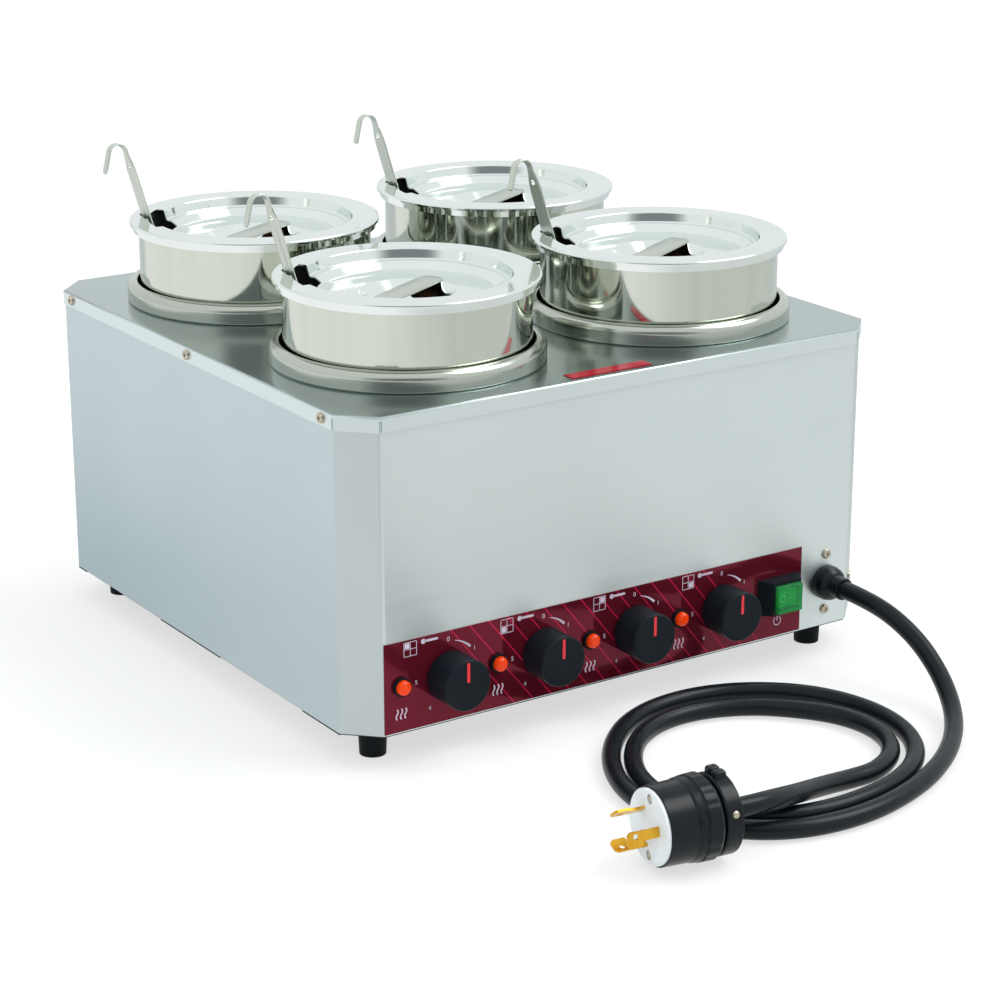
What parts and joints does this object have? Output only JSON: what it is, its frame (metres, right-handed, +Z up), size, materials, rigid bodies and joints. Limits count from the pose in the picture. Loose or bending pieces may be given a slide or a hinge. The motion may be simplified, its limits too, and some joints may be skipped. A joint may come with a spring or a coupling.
{
  "type": "countertop food warmer",
  "caption": "Square stainless countertop food warmer with round lidded inset pots, ladles, a knob and pilot lamp for each well, a power switch and a cord with a locking plug.",
  "frame": {"origin": "on the worktop under the middle of the cabinet", "axes": "+Z up, -Y towards the controls, +X to the right seen from the front"},
  "size_m": [0.456, 0.7051, 0.3679],
  "materials": {
    "satin_steel": "satin",
    "polished_steel": "polished",
    "plated_steel": "bright",
    "black_plastic": "matte",
    "orange_lens": "gloss",
    "green_plastic": "gloss",
    "green_clear": "clear",
    "label_film": "satin",
    "black_rubber": "matte",
    "white_nylon": "satin",
    "brass": "bright",
    "copper": "satin",
    "heater_metal": "satin",
    "fibre": "matte",
    "pale_plastic": "matte",
    "wire_cover": "satin"
  },
  "bodies": {
    "base": {"deck": "satin_steel", "front_panel": "satin_steel", "rear_panel": "satin_steel", "left_panel": "satin_steel", "right_panel": "satin_steel", "bottom_cover": "satin_steel", "pilot_lamps": "black_plastic", "lamp_lenses": "orange_lens", "switch_housing": "black_plastic", "switch_cover": "green_clear", "labels": "label_film", "cord_gland": "black_plastic", "power_cord": "black_rubber", "plug_clamp": "black_plastic", "plug_body": "black_plastic", "plug_face": "white_nylon", "plug_blades": "brass", "feet": "black_rubber", "cover_screws": "plated_steel", "well_1": "satin_steel", "well_2": "satin_steel", "well_3": "satin_steel", "well_4": "satin_steel", "collar_ring_1": "satin_steel", "collar_ring_2": "satin_steel", "collar_ring_3": "satin_steel", "collar_ring_4": "satin_steel", "well_heaters": "heater_metal", "insulation": "fibre", "thermostats": "pale_plastic", "capillaries": "copper", "gland_nut": "plated_steel", "foot_screws": "plated_steel", "terminal_block": "pale_plastic", "wiring": "wire_cover"},
    "rocker": {"switch_rocker": "green_plastic"},
    "pot_1": {"inset_pot_1": "polished_steel"},
    "lid_1": {"lid_1": "polished_steel", "lid_strap_1": "polished_steel"},
    "ladle_1": {"ladle_1": "polished_steel"},
    "knob_1": {"knob_1": "black_plastic", "knob_shaft_1": "plated_steel"},
    "pot_2": {"inset_pot_2": "polished_steel"},
    "lid_2": {"lid_2": "polished_steel", "lid_strap_2": "polished_steel"},
    "ladle_2": {"ladle_2": "polished_steel"},
    "knob_2": {"knob_2": "black_plastic", "knob_shaft_2": "plated_steel"},
    "pot_3": {"inset_pot_3": "polished_steel"},
    "lid_3": {"lid_3": "polished_steel", "lid_strap_3": "polished_steel"},
    "ladle_3": {"ladle_3": "polished_steel"},
    "knob_3": {"knob_3": "black_plastic", "knob_shaft_3": "plated_steel"},
    "pot_4": {"inset_pot_4": "polished_steel"},
    "lid_4": {"lid_4": "polished_steel", "lid_strap_4": "polished_steel"},
    "ladle_4": {"ladle_4": "polished_steel"},
    "knob_4": {"knob_4": "black_plastic", "knob_shaft_4": "plated_steel"}
  },
  "joints": [
    {"name": "rocker_pivot", "type": "hinge", "parent": "base", "child": "rocker", "pos_m": [0.1365, -0.2305, 0.059], "axis": [0, 0, 1], "range_deg": [0, 18]},
    {"name": "pot_lift_1", "type": "slide", "parent": "base", "child": "pot_1", "axis": [0, 0, 1], "range_m": [0, 0.17]},
    {"name": "lid_lift_1", "type": "slide", "parent": "pot_1", "child": "lid_1", "axis": [0, 0, 1], "range_m": [0, 0.2]},
    {"name": "ladle_draw_1", "type": "slide", "parent": "lid_1", "child": "ladle_1", "axis": [-0.2238, 0.1398, 0.9646], "range_m": [0, 0.12]},
    {"name": "knob_turn_1", "type": "hinge", "parent": "base", "child": "knob_1", "pos_m": [-0.1515, -0.24, 0.059], "axis": [0, 1, 0], "range_deg": [0, 270]},
    {"name": "pot_lift_2", "type": "slide", "parent": "base", "child": "pot_2", "axis": [0, 0, 1], "range_m": [0, 0.17]},
    {"name": "lid_lift_2", "type": "slide", "parent": "pot_2", "child": "lid_2", "axis": [0, 0, 1], "range_m": [0, 0.2]},
    {"name": "ladle_draw_2", "type": "slide", "parent": "lid_2", "child": "ladle_2", "axis": [-0.2238, 0.1398, 0.9646], "range_m": [0, 0.12]},
    {"name": "knob_turn_2", "type": "hinge", "parent": "base", "child": "knob_2", "pos_m": [-0.07327, -0.24, 0.059], "axis": [0, 1, 0], "range_deg": [0, 270]},
    {"name": "pot_lift_3", "type": "slide", "parent": "base", "child": "pot_3", "axis": [0, 0, 1], "range_m": [0, 0.17]},
    {"name": "lid_lift_3", "type": "slide", "parent": "pot_3", "child": "lid_3", "axis": [0, 0, 1], "range_m": [0, 0.2]},
    {"name": "ladle_draw_3", "type": "slide", "parent": "lid_3", "child": "ladle_3", "axis": [-0.2238, 0.1398, 0.9646], "range_m": [0, 0.12]},
    {"name": "knob_turn_3", "type": "hinge", "parent": "base", "child": "knob_3", "pos_m": [0.00497, -0.24, 0.059], "axis": [0, 1, 0], "range_deg": [0, 270]},
    {"name": "pot_lift_4", "type": "slide", "parent": "base", "child": "pot_4", "axis": [0, 0, 1], "range_m": [0, 0.17]},
    {"name": "lid_lift_4", "type": "slide", "parent": "pot_4", "child": "lid_4", "axis": [0, 0, 1], "range_m": [0, 0.2]},
    {"name": "ladle_draw_4", "type": "slide", "parent": "lid_4", "child": "ladle_4", "axis": [-0.2238, 0.1398, 0.9646], "range_m": [0, 0.12]},
    {"name": "knob_turn_4", "type": "hinge", "parent": "base", "child": "knob_4", "pos_m": [0.0832, -0.24, 0.059], "axis": [0, 1, 0], "range_deg": [0, 270]}
  ]
}
